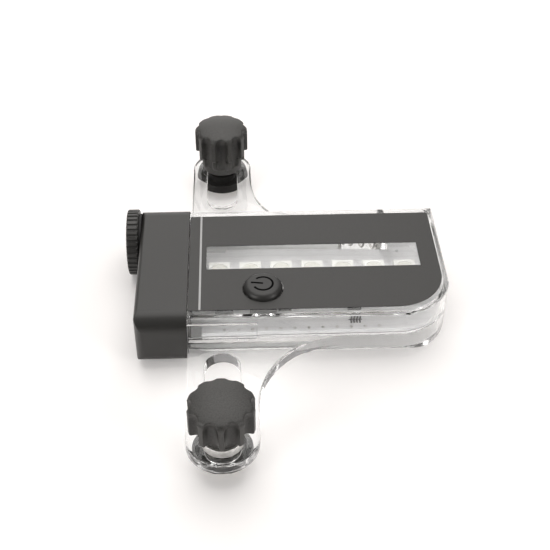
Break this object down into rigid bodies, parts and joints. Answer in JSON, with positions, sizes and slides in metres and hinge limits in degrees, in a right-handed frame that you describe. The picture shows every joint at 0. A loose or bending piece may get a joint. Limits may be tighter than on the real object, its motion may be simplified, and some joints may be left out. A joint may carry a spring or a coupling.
{
  "type": "spoke wheel light",
  "caption": "Flat clear battery light for a bicycle wheel: lamp row behind a film window, power key, screwed battery end and slotted arms with thumb-screw spoke clamps.",
  "frame": {"origin": "centre of the part's footprint, at the height of its lowest point, the tail cap's rim", "axes": "+X from the battery end to the lamp end, +Y along the arms, +Z out of the label"},
  "size_m": [0.0734, 0.1083, 0.0202],
  "materials": {
    "clear_case": "clear polished",
    "black_film": "matt film",
    "black_key": "satin moulded",
    "black_block": "fine spark texture",
    "black_knob": "fine spark texture",
    "black_rubber": "matt",
    "plated_steel": "nickel plated",
    "brass_insert": "machined",
    "cell_sleeve": "plain printed sleeve",
    "white_board": "white solder mask",
    "lamp_package": "cream resin in white housing",
    "black_chip": "moulded resin",
    "small_parts": "ceramic",
    "white_plunger": "moulded"
  },
  "bodies": {
    "case": {"lower_case": "clear_case", "upper_case": "clear_case", "top_label": "black_film", "end_block": "black_block", "positive_strip": "plated_steel", "cell_spring": "plated_steel", "negative_contact": "plated_steel", "pcb": "white_board", "leds_top": "lamp_package", "leds_bottom": "lamp_package", "control_chip": "black_chip", "boost_chip": "black_chip", "boost_coil": "black_chip", "chip_parts": "small_parts", "power_switch": "black_chip"},
    "power_key": {"power_button": "black_key", "switch_plunger": "white_plunger"},
    "cell_train": {"tail_seal": "black_rubber", "cell_can": "plated_steel", "cell_sleeve": "cell_sleeve"},
    "tail_screw": {"tail_cap": "black_block", "positive_contact": "plated_steel"},
    "front_carriage": {"front_washer": "plated_steel"},
    "front_screw": {"front_knob": "black_knob", "front_stud": "plated_steel"},
    "front_clamp": {"front_disc": "black_knob", "front_insert": "brass_insert"},
    "back_carriage": {"back_washer": "black_knob"},
    "back_screw": {"back_knob": "black_knob", "back_stud": "plated_steel"},
    "back_clamp": {"back_disc": "black_knob", "back_insert": "brass_insert"}
  },
  "joints": [
    {"name": "power_press", "type": "slide", "parent": "case", "child": "power_key", "axis": [0, 0, -1], "range_m": [0, 0.0005], "stiffness_N_per_m": 400},
    {"name": "tail_out", "type": "slide", "parent": "case", "child": "cell_train", "axis": [-1, 0, 0], "range_m": [0, 0.003]},
    {"name": "tail_turn", "type": "hinge", "parent": "cell_train", "child": "tail_screw", "pos_m": [-0.03535, 0.0151, 0.00785], "axis": [-1, 0, 0], "range_deg": [0, 1088]},
    {"name": "front_slide", "type": "slide", "parent": "case", "child": "front_carriage", "axis": [0, 1, 0], "range_m": [0, 0.019]},
    {"name": "front_knob_turn", "type": "hinge", "parent": "front_carriage", "child": "front_screw", "pos_m": [-0.0143, -0.0475, 0.012], "axis": [0, 0, 1], "range_deg": [0, 1088]},
    {"name": "front_clamp_drop", "type": "slide", "parent": "front_carriage", "child": "front_clamp", "axis": [0, 0, -1], "range_m": [0, 0.0021]},
    {"name": "back_slide", "type": "slide", "parent": "case", "child": "back_carriage", "axis": [0, -1, 0], "range_m": [0, 0.0128]},
    {"name": "back_knob_turn", "type": "hinge", "parent": "back_carriage", "child": "back_screw", "pos_m": [-0.0143, 0.0475, 0.012], "axis": [0, 0, 1], "range_deg": [0, 1088]},
    {"name": "back_clamp_drop", "type": "slide", "parent": "back_carriage", "child": "back_clamp", "axis": [0, 0, -1], "range_m": [0, 0.0021]}
  ],
  "couplings": [
    {"joint": "tail_turn", "follows": "tail_out", "rad_per_m": 6283.2},
    {"joint": "front_knob_turn", "follows": "front_clamp_drop", "rad_per_m": 8976},
    {"joint": "back_knob_turn", "follows": "back_clamp_drop", "rad_per_m": 8976}
  ]
}
